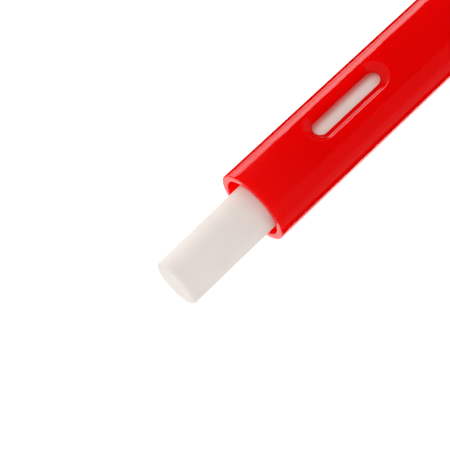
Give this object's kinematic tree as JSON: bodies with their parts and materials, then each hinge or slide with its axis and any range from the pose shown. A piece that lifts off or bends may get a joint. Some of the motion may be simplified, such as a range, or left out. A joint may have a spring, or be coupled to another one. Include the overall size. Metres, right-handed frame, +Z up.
{
  "type": "stick eraser holder",
  "caption": "Slim open-mouthed tube for a round eraser stick, with a viewing window, a sprung sliding thumb button that carries a pocket clip, and a hexagonal end plug.",
  "frame": {"origin": "bottom centre of the bounding box, so the holder lies on z = 0", "axes": "+X along the barrel from the mouth to the end plug, +Z up through the window, the thumb slot and the clip, +Y across"},
  "size_m": [0.15, 0.0122, 0.0142],
  "materials": {
    "red_barrel": "high gloss, injection moulded, slightly translucent",
    "eraser": "matt, soft white vinyl eraser",
    "natural_nylon": "satin, natural nylon",
    "ring_steel": "bright spring steel",
    "block_acetal": "matt black acetal",
    "pin_steel": "drawn steel",
    "shoe_acetal": "matt black acetal",
    "spring_steel": "drawn spring wire",
    "red_button": "gloss with worn grip grooves",
    "clip_steel": "nickel plated strip, fine brushed edges",
    "rivet_steel": "domed head, turned",
    "red_plug": "gloss, injection moulded"
  },
  "bodies": {
    "barrel": {"barrel": "red_barrel"},
    "carrier": {"carrier_tube": "natural_nylon", "finger_ring": "ring_steel", "slider_block": "block_acetal", "block_pin": "pin_steel", "button_spring": "spring_steel"},
    "stick": {"eraser_stick": "eraser"},
    "button": {"thumb_button": "red_button", "brake_shoe": "shoe_acetal", "pocket_clip": "clip_steel", "clip_rivet": "rivet_steel"},
    "plug": {"end_plug": "red_plug"}
  },
  "joints": [
    {"name": "carrier_slide", "type": "slide", "parent": "barrel", "child": "carrier", "axis": [-1, 0, 0], "range_m": [-0.0155, 0.056]},
    {"name": "stick_pull", "type": "slide", "parent": "carrier", "child": "stick", "axis": [-1, 0, 0], "range_m": [0, 0.068]},
    {"name": "button_press", "type": "slide", "parent": "carrier", "child": "button", "axis": [0, 0, -1], "range_m": [0, 0.0007], "stiffness_N_per_m": 1500, "springref_m": -0.001, "deforming": ["button_spring"]},
    {"name": "plug_pull", "type": "slide", "parent": "barrel", "child": "plug", "axis": [1, 0, 0], "range_m": [0, 0.01]}
  ]
}
